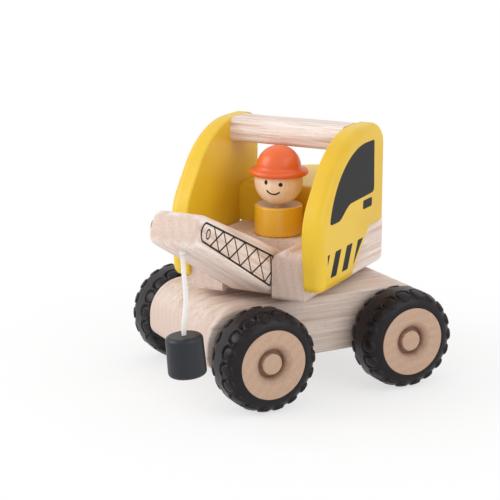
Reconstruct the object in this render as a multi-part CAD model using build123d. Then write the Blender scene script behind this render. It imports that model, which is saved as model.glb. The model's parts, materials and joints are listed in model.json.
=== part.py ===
from build123d import *

# Wooden toy crane truck, as separate pieces in one frame, in millimetres.
#
# The origin is the centre of the chassis block's underside. +Z is up, the truck drives
# towards -Y and its left side is +X. The upper works (deck, cab, boom and load) turn about
# the slew axis, the vertical line x = y = 0. They are modelled straight ahead and then
# turned by SLEW_DEG. The boom is modelled level, along -Y from its pin, and then raised
# by BOOM_PITCH_DEG.
import math
import os

os.makedirs("parts", exist_ok=True)

# ---------------------------------------------------------------- clearances
GLUE = 0.02          # radial gap of a glued dowel in its bore
RUN = 0.08           # radial gap of a turning shaft in its bore
PLAY = 0.4           # end play of a turning piece beside its neighbour
SEAT = 0.2           # gap under a piece that turns on the one below
BORE_END = 0.5       # spare depth past the end of a dowel

# ---------------------------------------------------------------- chassis and wheels
CHASSIS_WIDTH = 87.8
CHASSIS_LENGTH = 167.2
CHASSIS_THICK = 39.0
CHASSIS_TOP_RADIUS = 24.0      # front and rear ends, seen from the side
CHASSIS_BOTTOM_RADIUS = 9.0
CHASSIS_EDGE = 1.5             # rounding along both sides

WHEELBASE = 103.5
AXLE_HEIGHT = 9.0              # above the chassis underside
TYRE_RADIUS = 33.0
TYRE_WIDTH = 28.8
TYRE_GAP = 4.1                 # from the chassis side to the tyre
TYRE_CROWN = 0.6                # the tread's middle lies this far inside the knobs' reach
TYRE_SHOULDER = 8.0
KNOB_COUNT = 18                # in each of a tyre's two rows
KNOB_RADIUS = 4.2
KNOB_INSET = 4.4               # from the tyre's face to the knobs' middle
HUB_RADIUS = 22.6
HUB_INSET = 1.8                # hub face behind the tyre's face
HUB_RIM = 8.0                  # flat ring round the dish
HUB_DISH_DEPTH = 6.0
HUB_FLOOR_RADIUS = 8.8
HUB_BOSS_RADIUS = 11.0
HUB_RIB_WIDTH = 9.0
HUB_RIB_HEIGHT = 1.6
PEG_RADIUS = 5.0
PEG_HEAD_RADIUS = 6.8
PEG_HEAD_EDGE = 1.2
PEG_HEAD_INSET = 1.2           # head behind the hub's face
PEG_DEPTH = 24.0               # how far a wheel peg reaches into the chassis

# ---------------------------------------------------------------- turntable and deck
SLEW_DEG = 34.45
DISC_RADIUS = 30.0
DISC_THICK = 4.3
DECK_HALF_WIDTH = 41.0
DECK_THICK = 32.0
DECK_FRONT = 60.0              # ahead of the slew axis
DECK_REAR = 84.5               # behind the slew axis
DECK_TAIL_FLAT = 15.0          # half-width of the tail between its round corners
DECK_EDGE = 3.0
DECK_BROW_RADIUS = 6.5         # rounding of the front face into the top
SLOT_WIDTH = 36.0
SLOT_DEPTH = 27.5
SLOT_EDGE = 8.5                # rounding of the two long top edges of the slot
KING_RADIUS = 6.0
KING_HEAD_RADIUS = 9.0
KING_HEAD_THICK = 6.0
KING_SINK = 0.6                # head below the deck's top
KING_DEPTH = 26.0              # how far the king peg reaches into the chassis

# ---------------------------------------------------------------- cab
PANEL_THICK = 14.0
PANEL_OUTER_EDGE = 6.2         # round-over of the outer edges
PANEL_INNER_EDGE = 1.2
PANEL_FOOT_FRONT = 62.0        # ahead of the slew axis, at the panel's bottom
PANEL_BROW_FRONT = 67.0        # the same, at the foot of the sloping brow
PANEL_BROW_HEIGHT = 53.5       # above the deck's underside
PANEL_BROW_TOP_FRONT = 28.1    # ahead of the slew axis, where the brow meets the top
PANEL_REAR = 34.5              # behind the slew axis
PANEL_BOTTOM = 7.4             # above the deck's underside
PANEL_TOP = 104.5
PANEL_HEEL_FRONT = 15.4        # ahead of the slew axis, where the heel starts to rise
PANEL_HEEL_REAR = 12.2         # behind the slew axis, where it has risen
PANEL_HEEL_HEIGHT = 34.7       # above the deck's underside
PANEL_CORNER_RADIUS = 6.5
PANEL_BROW_RADIUS = 38.0
PANEL_CROWN_RADIUS = 64.0
PANEL_TOP_REAR_RADIUS = 15.0
PANEL_HEEL_RADIUS = 8.0
ROOF_BAR_THICK = 16.2
ROOF_BAR_FRONT = 6.2           # ahead of the slew axis
ROOF_BAR_REAR = 18.0
ROOF_BAR_EDGE = 4.0
BLOCK_FRONT = 6.6              # behind the slew axis
BLOCK_REAR = 88.5
BLOCK_HEIGHT = 27.5
BLOCK_TAIL_FLAT = 3.0          # half-width of its tail between the round corners
BLOCK_EDGE = 5.0
DOWEL_RADIUS = 4.0
DOWEL_BITE = 10.0              # length of a dowel in each of its two pieces
PANEL_DOWEL_AHEAD = 2.0        # front dowel, ahead of the boom pin
PANEL_DOWEL_DROP = 7.5         # front dowel, below the deck's top
PANEL_DOWEL_BACK = 8.0         # rear dowel, behind the slot's end
BLOCK_DOWEL_FRONT = 24.0       # from the block's front to its front dowel
BLOCK_DOWEL_REAR = 30.0        # from the block's rear to its rear dowel

# ---------------------------------------------------------------- boom and load
BOOM_PITCH_DEG = 27.5
PIVOT_AHEAD = 50.0             # from the slew axis to the boom pin
BOOM_WIDTH = 34.0
BOOM_HEEL_RADIUS = 15.0        # rounded end about the pin
BOOM_REACH = 111.5             # from the pin to the tip
BOOM_TIP_TOP = 7.5             # above the pin's level
BOOM_TIP_BOTTOM = 13.6         # below it
BOOM_TIP_RADIUS = 7.5
BOOM_EDGE = 4.0
BOOM_PIN_RADIUS = 4.0
BOOM_PIN_BITE = 15.0           # length of pin held in each cheek of the deck
CORD_SETBACK = 16.1            # from the boom's tip back to the cord
CORD_RADIUS = 1.5
CORD_MOUTH_RADIUS = 5.4        # wide shallow cone that the cord leans into
CORD_MOUTH_DEPTH = 1.0
KNOT_RADIUS = 2.3
KNOT_GAP = 0.3                 # between the knot and its ball seat in the boom
CORD_CUP_GAP = 0.1             # between the knot and the cord's hollowed upper end
CORD_TURN_DEG = 27.8           # plane the cord bends in, from the left towards the rear
LOAD_TOP_RADIUS = 11.4
LOAD_BOTTOM_RADIUS = 11.9
LOAD_HEIGHT = 25.4
LOAD_EDGE = 2.8
LOAD_LEAN_DEG = 5.0
LOAD_BORE_DEPTH = 6.5
LOAD_CORD_RISE = 4.2           # cord above the weight that runs on its axis

# ---------------------------------------------------------------- driver
DRIVER_AHEAD = 15.0
DRIVER_RADIUS = 16.0
DRIVER_HEIGHT = 19.4
DRIVER_EDGE = 1.2
DRIVER_DISH_RADIUS = 14.2      # shallow dish in the body's top
DRIVER_DISH_DEPTH = 2.2
HEAD_RADIUS = 16.0
HEAD_SINK = 0.4                # lowest point of the head, below the body's rim
HELMET_RADIUS = 14.8
HELMET_RISE = 2.6              # middle of the dome, above the middle of the brim
HELMET_FLARE = 2.5             # hollow rounding from the dome into the brim
HELMET_BRIM_RADIUS = 19.6
HELMET_BRIM_THICK = 3.8
HELMET_BRIM_LIFT = 6.4         # middle of the brim, above the middle of the head
NECK_RADIUS = 3.0
NECK_BITE = 8.0

# ---------------------------------------------------------------- worked-out places
TYRE_INNER_X = CHASSIS_WIDTH / 2 + TYRE_GAP
TYRE_OUTER_X = TYRE_INNER_X + TYRE_WIDTH
HUB_FACE_X = TYRE_OUTER_X - HUB_INSET
HUB_DISH_X = HUB_FACE_X - HUB_DISH_DEPTH
PEG_FACE_X = HUB_FACE_X - PEG_HEAD_INSET
DISC_TOP = CHASSIS_THICK + DISC_THICK
DECK_BOTTOM = DISC_TOP + SEAT
DECK_TOP = DECK_BOTTOM + DECK_THICK
SLOT_REAR_Y = SLOT_DEPTH - DECK_FRONT
PIVOT_Y = -PIVOT_AHEAD
PIVOT_Z = DECK_BOTTOM + DECK_THICK / 2
PANEL_TOP_Z = DECK_BOTTOM + PANEL_TOP
ROOF_BAR_Z = PANEL_TOP_Z - ROOF_BAR_THICK
KING_HEAD_TOP = DECK_TOP - KING_SINK
DECK_TAIL_RADIUS = DECK_HALF_WIDTH - DECK_TAIL_FLAT
BLOCK_TAIL_RADIUS = DECK_HALF_WIDTH - BLOCK_TAIL_FLAT
CORD_REACH = BOOM_REACH - CORD_SETBACK


def save(shape, node):
    """Write one node's solids to its STEP file."""
    shape.label = node
    export_step(shape, f"parts/{node}.step")


def cylinder_along(axis, radius, start, end, at=(0, 0)):
    """A cylinder along X or Z from start to end; at gives its two other coordinates."""
    length = abs(end - start)
    middle = (start + end) / 2
    if axis == "X":
        return Pos(middle, at[0], at[1]) * Rotation(0, 90, 0) * Cylinder(radius, length)
    return Pos(at[0], at[1], middle) * Cylinder(radius, length)


def slab(profile, half_width):
    """Extrude a side profile (y, z) equally to both sides of the middle plane."""
    return extrude(Plane.YZ * profile, half_width, both=True)


def turned(shape):
    """Turn a piece of the upper works from straight ahead to its place."""
    return Rotation(0, 0, SLEW_DEG) * shape


def raised(shape):
    """Raise a piece of the level boom and bring it to its pin."""
    return Pos(0, PIVOT_Y, PIVOT_Z) * Rotation(-BOOM_PITCH_DEG, 0, 0) * shape


# ---------------------------------------------------------------- chassis block
def chassis_block():
    side = Pos(0, CHASSIS_THICK / 2) * Rectangle(CHASSIS_LENGTH, CHASSIS_THICK)
    corners = side.vertices().group_by(Axis.Y)
    side = fillet(corners[-1], CHASSIS_TOP_RADIUS)
    side = fillet(side.vertices().filter_by(lambda v: abs(v.Y) < GLUE), CHASSIS_BOTTOM_RADIUS)
    block = slab(side, CHASSIS_WIDTH / 2)
    faces = block.faces().sort_by(Axis.X)
    block = fillet(faces[0].edges() + faces[-1].edges(), CHASSIS_EDGE)
    for y in (-WHEELBASE / 2, WHEELBASE / 2):
        for side_x in (-1, 1):
            outer = side_x * (CHASSIS_WIDTH / 2 + 1)
            inner = side_x * (CHASSIS_WIDTH / 2 - PEG_DEPTH - BORE_END)
            block -= cylinder_along("X", PEG_RADIUS + GLUE, outer, inner, (y, AXLE_HEIGHT))
    bore_bottom = CHASSIS_THICK - KING_DEPTH - BORE_END
    block -= cylinder_along("Z", KING_RADIUS + GLUE, bore_bottom, CHASSIS_THICK + 1)
    return block


# ---------------------------------------------------------------- wheels
def hub():
    """Turned wooden hub about X: dished face, rib for the tyre, boss on the chassis side."""
    bore = PEG_RADIUS + RUN
    rim = HUB_RADIUS - GLUE
    rib = rim + HUB_RIB_HEIGHT
    middle = (TYRE_INNER_X + TYRE_OUTER_X) / 2
    boss_x = CHASSIS_WIDTH / 2 + PLAY
    with BuildSketch() as section:
        with BuildLine():
            Polyline(
                (bore, boss_x),
                (HUB_BOSS_RADIUS, boss_x),
                (HUB_BOSS_RADIUS, TYRE_INNER_X),
                (rim, TYRE_INNER_X),
                (rim, middle - HUB_RIB_WIDTH / 2),
                (rib, middle - HUB_RIB_WIDTH / 2),
                (rib, middle + HUB_RIB_WIDTH / 2),
                (rim, middle + HUB_RIB_WIDTH / 2),
                (rim, HUB_FACE_X),
                (HUB_RADIUS - HUB_RIM, HUB_FACE_X),
            )
            Spline(
                (HUB_RADIUS - HUB_RIM, HUB_FACE_X),
                (HUB_FLOOR_RADIUS, HUB_DISH_X),
                tangents=[(-1, 0), (-0.2, -1)],
            )
            Polyline(
                (HUB_FLOOR_RADIUS, HUB_DISH_X),
                (bore, HUB_DISH_X),
                (bore, boss_x),
            )
        make_face()
    return revolve(section.sketch, axis=Axis.Y)


def tyre():
    """Rubber tyre about the section's Y axis, with a row of round knobs on each shoulder."""
    inner = HUB_RADIUS
    rib = HUB_RADIUS + HUB_RIB_HEIGHT
    crown = TYRE_RADIUS - TYRE_CROWN
    middle = (TYRE_INNER_X + TYRE_OUTER_X) / 2
    groove = HUB_RIB_WIDTH / 2 + GLUE
    with BuildSketch() as section:
        with BuildLine():
            Polyline(
                (inner, TYRE_INNER_X),
                (crown, TYRE_INNER_X),
                (crown, TYRE_OUTER_X),
                (inner, TYRE_OUTER_X),
                (inner, middle + groove),
                (rib, middle + groove),
                (rib, middle - groove),
                (inner, middle - groove),
                (inner, TYRE_INNER_X),
            )
        make_face()
        outer = section.vertices().filter_by(lambda v: abs(v.X - crown) < GLUE)
        fillet(outer, TYRE_SHOULDER)
    ring = revolve(section.sketch, axis=Axis.Y)
    knobs = []
    for index in range(KNOB_COUNT):
        for y, phase in ((TYRE_INNER_X + KNOB_INSET, 0.5), (TYRE_OUTER_X - KNOB_INSET, 0.0)):
            knob = Pos(TYRE_RADIUS - KNOB_RADIUS, y, 0) * Sphere(KNOB_RADIUS)
            knobs.append(Rotation(0, (index + phase) * 360 / KNOB_COUNT, 0) * knob)
    return ring + knobs


def wheel_peg():
    """Turned peg about the section's Y axis: a shank in the chassis and a round head."""
    tip = CHASSIS_WIDTH / 2 - PEG_DEPTH
    seat = HUB_DISH_X + PLAY
    with BuildSketch() as section:
        with BuildLine():
            Polyline(
                (0, tip),
                (PEG_RADIUS, tip),
                (PEG_RADIUS, seat),
                (PEG_HEAD_RADIUS, seat),
                (PEG_HEAD_RADIUS, PEG_FACE_X),
                (0, PEG_FACE_X),
                (0, tip),
            )
        make_face()
        rim = section.vertices().filter_by(
            lambda v: abs(v.Y - PEG_FACE_X) < GLUE and v.X > PEG_RADIUS
        )
        fillet(rim, PEG_HEAD_EDGE)
    return revolve(section.sketch, axis=Axis.Y)


def at_wheel(shape, side, y):
    """Lay a piece turned about Y along X, at one wheel; side is +1 left, -1 right."""
    return Pos(0, y, AXLE_HEIGHT) * Rotation(0, 0, -90 * side) * shape


# ---------------------------------------------------------------- turntable and deck
def turntable_disc():
    disc = cylinder_along("Z", DISC_RADIUS, CHASSIS_THICK, DISC_TOP)
    return disc - cylinder_along("Z", KING_RADIUS + GLUE, CHASSIS_THICK - 1, DISC_TOP + 1)


def king_peg():
    """The peg glued into the chassis that the deck turns on; its head holds the deck."""
    shank = cylinder_along("Z", KING_RADIUS, CHASSIS_THICK - KING_DEPTH, KING_HEAD_TOP)
    head_bottom = KING_HEAD_TOP - KING_HEAD_THICK
    return shank + cylinder_along("Z", KING_HEAD_RADIUS, head_bottom, KING_HEAD_TOP)


def tail_plan(half_width, front, rear, tail_radius):
    """Plan outline, straight in front and with two large rounded corners behind."""
    plan = Pos(0, (front + rear) / 2) * Rectangle(2 * half_width, rear - front)
    return fillet(plan.vertices().group_by(Axis.Y)[-1], tail_radius)


def slot_cutter():
    """Front slot for the boom, with its two long top edges rounded over."""
    half = SLOT_WIDTH / 2
    bend = DECK_TOP - SLOT_EDGE
    lean = SLOT_EDGE * (1 - math.sqrt(0.5))
    with BuildSketch() as section:
        with BuildLine() as right:
            Line((0, DECK_BOTTOM - 1), (half, DECK_BOTTOM - 1))
            Line((half, DECK_BOTTOM - 1), (half, bend))
            ThreePointArc((half, bend), (half + lean, DECK_TOP - lean), (half + SLOT_EDGE, DECK_TOP))
            Line((half + SLOT_EDGE, DECK_TOP), (half + SLOT_EDGE, DECK_TOP + 1))
            Line((half + SLOT_EDGE, DECK_TOP + 1), (0, DECK_TOP + 1))
            mirror(about=Plane.YZ)
        make_face()
    front_plane = Plane(origin=(0, -DECK_FRONT - 1, 0), x_dir=(1, 0, 0), z_dir=(0, -1, 0))
    return extrude(front_plane * section.sketch, -(SLOT_DEPTH + 1))


def deck_block():
    plan = tail_plan(DECK_HALF_WIDTH, -DECK_FRONT, DECK_REAR, DECK_TAIL_RADIUS)
    block = Pos(0, 0, DECK_BOTTOM) * extrude(plan, DECK_THICK)
    levels = block.faces().sort_by(Axis.Z)
    block = fillet(levels[0].edges() + levels[-1].edges(), DECK_EDGE)
    middle = (DECK_REAR - DECK_FRONT) / 2, (DECK_BOTTOM + DECK_TOP) / 2
    side = Pos(*middle) * Rectangle(DECK_FRONT + DECK_REAR, DECK_THICK)
    brow = side.vertices().group_by(Axis.Y)[-1].sort_by(Axis.X)[0]
    block &= slab(fillet(brow, DECK_BROW_RADIUS), DECK_HALF_WIDTH + 1)
    block -= slot_cutter()
    head_floor = KING_HEAD_TOP - KING_HEAD_THICK - SEAT
    block -= cylinder_along("Z", KING_RADIUS + RUN, DECK_BOTTOM - 1, DECK_TOP)
    block -= cylinder_along("Z", KING_HEAD_RADIUS + PLAY, head_floor, DECK_TOP + 1)
    pin_end = SLOT_WIDTH / 2 + BOOM_PIN_BITE + BORE_END
    block -= cylinder_along("X", BOOM_PIN_RADIUS + GLUE, -pin_end, pin_end, (PIVOT_Y, PIVOT_Z))
    for y, z in PANEL_DOWELS:
        for side in (-1, 1):
            block -= dowel_bore_x(side, y, z)
    for y in BLOCK_DOWELS:
        block -= cylinder_along("Z", DOWEL_RADIUS + GLUE, DECK_TOP - DOWEL_BITE, DECK_TOP + 1, (0, y))
    block -= cylinder_along(
        "Z", DOWEL_RADIUS + GLUE, DECK_TOP - DOWEL_BITE, DECK_TOP + 1, (0, -DRIVER_AHEAD)
    )
    return block


# ---------------------------------------------------------------- dowels
PANEL_DOWELS = (
    (-PIVOT_AHEAD - PANEL_DOWEL_AHEAD, DECK_TOP - PANEL_DOWEL_DROP),
    (SLOT_REAR_Y + PANEL_DOWEL_BACK, DECK_BOTTOM + DECK_THICK / 2),
)
ROOF_DOWEL = ((ROOF_BAR_REAR - ROOF_BAR_FRONT) / 2, ROOF_BAR_Z + ROOF_BAR_THICK / 2)
BLOCK_DOWELS = (BLOCK_FRONT + BLOCK_DOWEL_FRONT, BLOCK_REAR - BLOCK_DOWEL_REAR)


def dowel_x(side, y, z, radius=DOWEL_RADIUS):
    """A dowel across the joint between a panel and what stands inside it."""
    inner = side * (DECK_HALF_WIDTH - DOWEL_BITE)
    outer = side * (DECK_HALF_WIDTH + DOWEL_BITE)
    return cylinder_along("X", radius, inner, outer, (y, z))


def dowel_bore_x(side, y, z):
    return dowel_x(side, y, z, DOWEL_RADIUS + GLUE)


# ---------------------------------------------------------------- cab
def side_panel(side):
    """Shaped side board: straight front, sloping brow, flat top and a raised heel."""
    points = (
        (-PANEL_FOOT_FRONT, PANEL_BOTTOM),
        (-PANEL_BROW_FRONT, PANEL_BROW_HEIGHT),
        (-PANEL_BROW_TOP_FRONT, PANEL_TOP),
        (PANEL_REAR, PANEL_TOP),
        (PANEL_REAR, PANEL_HEEL_HEIGHT),
        (PANEL_HEEL_REAR, PANEL_HEEL_HEIGHT),
        (-PANEL_HEEL_FRONT, PANEL_BOTTOM),
    )
    radii = [
        PANEL_BROW_RADIUS,
        PANEL_CROWN_RADIUS,
        PANEL_TOP_REAR_RADIUS,
        PANEL_CORNER_RADIUS,
        PANEL_HEEL_RADIUS,
        PANEL_HEEL_RADIUS,
    ]
    outline = FilletPolyline(*points, radius=[PANEL_CORNER_RADIUS] + radii, close=True)
    inner = side * DECK_HALF_WIDTH
    panel = extrude(Plane.YZ * make_face(outline), side * PANEL_THICK)
    panel = Pos(inner, 0, DECK_BOTTOM) * panel
    faces = panel.faces().filter_by(Axis.X).sort_by(lambda face: abs(face.center().X))
    panel = fillet(faces[-1].edges(), PANEL_OUTER_EDGE)
    faces = panel.faces().filter_by(Axis.X).sort_by(lambda face: abs(face.center().X))
    panel = fillet(faces[0].edges(), PANEL_INNER_EDGE)
    for y, z in PANEL_DOWELS:
        panel -= dowel_bore_x(side, y, z)
    panel -= dowel_bore_x(side, *ROOF_DOWEL)
    return panel


def roof_bar():
    middle = (ROOF_BAR_REAR - ROOF_BAR_FRONT) / 2
    bar = Box(2 * DECK_HALF_WIDTH, ROOF_BAR_FRONT + ROOF_BAR_REAR, ROOF_BAR_THICK)
    bar = fillet(bar.edges().filter_by(Axis.X), ROOF_BAR_EDGE)
    bar = Pos(0, middle, ROOF_BAR_Z + ROOF_BAR_THICK / 2) * bar
    for side in (-1, 1):
        bar -= dowel_bore_x(side, *ROOF_DOWEL)
    return bar


def engine_block():
    plan = tail_plan(DECK_HALF_WIDTH, BLOCK_FRONT, BLOCK_REAR, BLOCK_TAIL_RADIUS)
    block = Pos(0, 0, DECK_TOP) * extrude(plan, BLOCK_HEIGHT)
    block = fillet(block.faces().sort_by(Axis.Z)[-1].edges(), BLOCK_EDGE)
    for y in BLOCK_DOWELS:
        block -= cylinder_along("Z", DOWEL_RADIUS + GLUE, DECK_TOP - 1, DECK_TOP + DOWEL_BITE, (0, y))
    return block


# ---------------------------------------------------------------- boom and load
def boom():
    """Level boom along -Y from the pin at the origin, round at the pin, tapered ahead."""
    tip_depth = BOOM_TIP_TOP + BOOM_TIP_BOTTOM
    tip_middle = BOOM_TIP_TOP - tip_depth / 2
    tip_length = 2 * BOOM_TIP_RADIUS + 1
    with BuildSketch() as side:
        Circle(BOOM_HEEL_RADIUS)
        with Locations((-BOOM_REACH + tip_length / 2, tip_middle)):
            RectangleRounded(tip_length, tip_depth, BOOM_TIP_RADIUS)
        make_hull()
    beam = slab(side.sketch, BOOM_WIDTH / 2)
    faces = beam.faces().filter_by(Axis.X)
    beam = fillet(faces.edges(), BOOM_EDGE)
    beam -= cylinder_along("X", BOOM_PIN_RADIUS + RUN, -BOOM_WIDTH, BOOM_WIDTH)
    return beam - cord_mouth()


def cord_mouth():
    """Cutter for the cord's mouth: a ball seat for the knot and a wide shallow cone."""
    seat = KNOT_RADIUS + KNOT_GAP
    cutter = Sphere(seat)
    cutter += Pos(0, 0, CORD_MOUTH_DEPTH / 2) * Cylinder(seat, CORD_MOUTH_DEPTH)
    cutter += Pos(0, 0, CORD_MOUTH_DEPTH / 2) * Cone(CORD_MOUTH_RADIUS, seat, CORD_MOUTH_DEPTH)
    cutter += Pos(0, 0, -CORD_MOUTH_DEPTH / 2) * Cylinder(CORD_MOUTH_RADIUS, CORD_MOUTH_DEPTH)
    return Pos(0, -CORD_REACH, CORD_MOUTH_Z) * cutter


def underside_height(reach):
    """Height of the level boom's underside at a reach ahead of the pin."""
    tip_reach = BOOM_REACH - BOOM_TIP_RADIUS
    drop = BOOM_TIP_BOTTOM - BOOM_TIP_RADIUS
    lean = math.atan2(drop, tip_reach)
    span = math.hypot(tip_reach, drop)
    slope = lean - math.asin((BOOM_HEEL_RADIUS - BOOM_TIP_RADIUS) / span)
    return -(BOOM_HEEL_RADIUS / math.cos(slope) + reach * math.tan(slope))


CORD_MOUTH_Z = underside_height(CORD_REACH)
PITCH = math.radians(BOOM_PITCH_DEG)
CORD_PIVOT = Vector(
    0,
    PIVOT_Y - CORD_REACH * math.cos(PITCH) + CORD_MOUTH_Z * math.sin(PITCH),
    PIVOT_Z + CORD_REACH * math.sin(PITCH) + CORD_MOUTH_Z * math.cos(PITCH),
)

# The cord's route below its pivot, as (aside, down) from the pivot.
CORD_ROUTE = (
    (0.3, 9.5),
    (1.5, 22.5),
    (1.7, 34.0),
    (-0.2, 47.4),
)
CORD_ASIDE = Vector(math.cos(math.radians(CORD_TURN_DEG)), math.sin(math.radians(CORD_TURN_DEG)), 0)


def cord_points():
    """Corners of the cord's route, from its pivot to the bottom of the weight's bore."""
    lean = math.radians(LOAD_LEAN_DEG)
    down = [CORD_ASIDE * aside - Vector(0, 0, drop) for aside, drop in CORD_ROUTE]
    tail = LOAD_BORE_DEPTH + LOAD_CORD_RISE
    last = down[-1] + (CORD_ASIDE * math.sin(lean) - Vector(0, 0, math.cos(lean))) * tail
    return [CORD_PIVOT + point for point in [Vector(0, 0, 0)] + down + [last]]


def cord():
    """A tube of straight runs and tangent arcs, hollowed at the top to turn on the knot."""
    points = cord_points()
    runs = [b - a for a, b in zip(points, points[1:])]
    radii = []
    for before, after in zip(runs, runs[1:]):
        half_turn = math.radians(before.get_angle(after)) / 2
        radii.append(0.45 * min(before.length, after.length) / math.tan(half_turn))
    path = FilletPolyline(*points, radius=radii)
    cup = KNOT_RADIUS + CORD_CUP_GAP
    print("cord radii", [round(radius, 1) for radius in radii])
    print("cord length", round(path.length - cup, 2))
    tube = sweep(Plane(origin=path @ 0, z_dir=path % 0) * Circle(CORD_RADIUS), path=path)
    return tube - Pos(CORD_PIVOT) * Sphere(cup)


def cord_knot():
    """The ball-shaped knot in the boom's mouth that the cord hangs from."""
    return Pos(CORD_PIVOT) * Sphere(KNOT_RADIUS)


def load_weight():
    """Turned weight that hangs on the cord, with a blind bore for it."""
    weight = Cone(LOAD_BOTTOM_RADIUS, LOAD_TOP_RADIUS, LOAD_HEIGHT)
    weight = Pos(0, 0, LOAD_BORE_DEPTH - LOAD_HEIGHT / 2) * fillet(weight.edges(), LOAD_EDGE)
    weight -= Pos(0, 0, LOAD_BORE_DEPTH) * Cylinder(CORD_RADIUS + GLUE, 2 * LOAD_BORE_DEPTH)
    lean = Rotation(0, 0, CORD_TURN_DEG) * Rotation(0, -LOAD_LEAN_DEG, 0)
    return Pos(cord_points()[-1]) * lean * weight


# ---------------------------------------------------------------- driver
HEAD_Z = DECK_TOP + SEAT + DRIVER_HEIGHT + HEAD_RADIUS - HEAD_SINK


def at_driver(shape, z=0.0):
    return Pos(0, -DRIVER_AHEAD, z) * shape


def driver_body():
    bottom = DECK_TOP + SEAT
    body = at_driver(Cylinder(DRIVER_RADIUS, DRIVER_HEIGHT), bottom + DRIVER_HEIGHT / 2)
    body = fillet(body.edges(), DRIVER_EDGE)
    dish = (DRIVER_DISH_RADIUS**2 / DRIVER_DISH_DEPTH + DRIVER_DISH_DEPTH) / 2
    body -= at_driver(Sphere(dish), bottom + DRIVER_HEIGHT - DRIVER_DISH_DEPTH + dish)
    body -= at_driver(Cylinder(DOWEL_RADIUS + RUN, 2 * DOWEL_BITE), bottom)
    body -= at_driver(Cylinder(NECK_RADIUS + GLUE, 2 * NECK_BITE), bottom + DRIVER_HEIGHT)
    return body


def driver_head():
    ball = at_driver(Sphere(HEAD_RADIUS), HEAD_Z)
    return ball - at_driver(Cylinder(NECK_RADIUS + GLUE, 2 * NECK_BITE), HEAD_Z - HEAD_RADIUS)


def driver_helmet():
    """Round helmet turned in one piece with its rolled brim, hollowed to fit the head."""
    brim = Pos(HELMET_BRIM_RADIUS / 2, 0) * Rectangle(HELMET_BRIM_RADIUS, HELMET_BRIM_THICK)
    brim = fillet(brim.vertices().group_by(Axis.X)[-1], 0.48 * HELMET_BRIM_THICK)
    size = HELMET_RADIUS + HELMET_RISE
    dome = Pos(0, HELMET_RISE) * Circle(HELMET_RADIUS)
    dome &= Pos(size / 2, size / 2) * Rectangle(size, size)
    section = brim + dome
    corner = section.vertices().sort_by(lambda v: abs(v.Y - HELMET_BRIM_THICK / 2) + abs(v.X - HELMET_RADIUS))
    helmet = revolve(Plane.XZ * fillet(corner[0], HELMET_FLARE), axis=Axis.Z)
    helmet = at_driver(helmet, HEAD_Z + HELMET_BRIM_LIFT)
    return helmet - at_driver(Sphere(HEAD_RADIUS + GLUE), HEAD_Z)


def neck_dowel():
    bottom = HEAD_Z - HEAD_RADIUS - NECK_BITE + HEAD_SINK + BORE_END
    top = HEAD_Z - HEAD_RADIUS + NECK_BITE - BORE_END
    return cylinder_along("Z", NECK_RADIUS, bottom, top, (0, -DRIVER_AHEAD))


# ---------------------------------------------------------------- write the nodes
save(chassis_block(), "chassis_block")
save(turntable_disc(), "turntable_disc")
save(king_peg(), "king_peg")

one_hub = hub()
one_tyre = tyre()
one_peg = wheel_peg()
for end, y in (("front", -WHEELBASE / 2), ("rear", WHEELBASE / 2)):
    for side, name in ((1, "left"), (-1, "right")):
        save(at_wheel(one_hub, side, y), f"hub_{end}_{name}")
        save(at_wheel(one_tyre, side, y), f"tyre_{end}_{name}")
        save(at_wheel(one_peg, side, y), f"wheel_peg_{end}_{name}")

save(turned(deck_block()), "deck_block")
save(turned(engine_block()), "engine_block")
save(turned(roof_bar()), "roof_bar")
for side, name in ((1, "left"), (-1, "right")):
    save(turned(side_panel(side)), f"side_panel_{name}")

pin_half = SLOT_WIDTH / 2 + BOOM_PIN_BITE
save(turned(cylinder_along("X", BOOM_PIN_RADIUS, -pin_half, pin_half, (PIVOT_Y, PIVOT_Z))), "boom_pin")
panel_dowels = [turned(dowel_x(side, y, z)) for side in (-1, 1) for y, z in PANEL_DOWELS]
save(Compound(children=panel_dowels), "panel_dowels")
roof_dowels = [turned(dowel_x(side, *ROOF_DOWEL)) for side in (-1, 1)]
save(Compound(children=roof_dowels), "roof_dowels")
block_dowels = [
    turned(cylinder_along("Z", DOWEL_RADIUS, DECK_TOP - DOWEL_BITE, DECK_TOP + DOWEL_BITE, (0, y)))
    for y in BLOCK_DOWELS
]
save(Compound(children=block_dowels), "engine_dowels")

save(turned(raised(boom())), "boom")
save(turned(cord_knot()), "cord_knot")
save(turned(cord()), "cord")
save(turned(load_weight()), "load_weight")

driver_dowel = cylinder_along(
    "Z", DOWEL_RADIUS, DECK_TOP - DOWEL_BITE, DECK_TOP + DOWEL_BITE - BORE_END, (0, -DRIVER_AHEAD)
)
save(turned(driver_dowel), "driver_dowel")
save(turned(driver_body()), "driver_body")
save(turned(driver_head()), "driver_head")
save(turned(driver_helmet()), "driver_helmet")
save(turned(neck_dowel()), "neck_dowel")

print("boom pivot", PIVOT_Y, PIVOT_Z)
print("cord pivot", CORD_PIVOT)
print("load end", cord_points()[-1])
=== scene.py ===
"""Wooden toy crane truck: finishes, prints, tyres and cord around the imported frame."""
import json
import math

import bmesh
import bpy
from mathutils import Matrix, Vector


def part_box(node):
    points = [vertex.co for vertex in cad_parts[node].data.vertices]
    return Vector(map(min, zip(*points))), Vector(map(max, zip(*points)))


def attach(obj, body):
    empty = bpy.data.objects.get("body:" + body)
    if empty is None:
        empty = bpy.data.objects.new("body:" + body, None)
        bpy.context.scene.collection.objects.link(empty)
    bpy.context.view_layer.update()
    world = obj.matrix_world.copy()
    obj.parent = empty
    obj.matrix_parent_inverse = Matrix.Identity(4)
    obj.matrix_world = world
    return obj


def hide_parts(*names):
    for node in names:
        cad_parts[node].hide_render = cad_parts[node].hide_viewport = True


bl_info = {
    "name": "Wooden Toy Crane Truck",
    "version": (1, 0, 0),
    "blender": (4, 5, 0),
    "location": "View3D > Sidebar > Toy Crane",
    "description": "Dresses the toy crane truck's solids with wood, lacquer, prints and tyres",
    "category": "Object",
}

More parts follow.
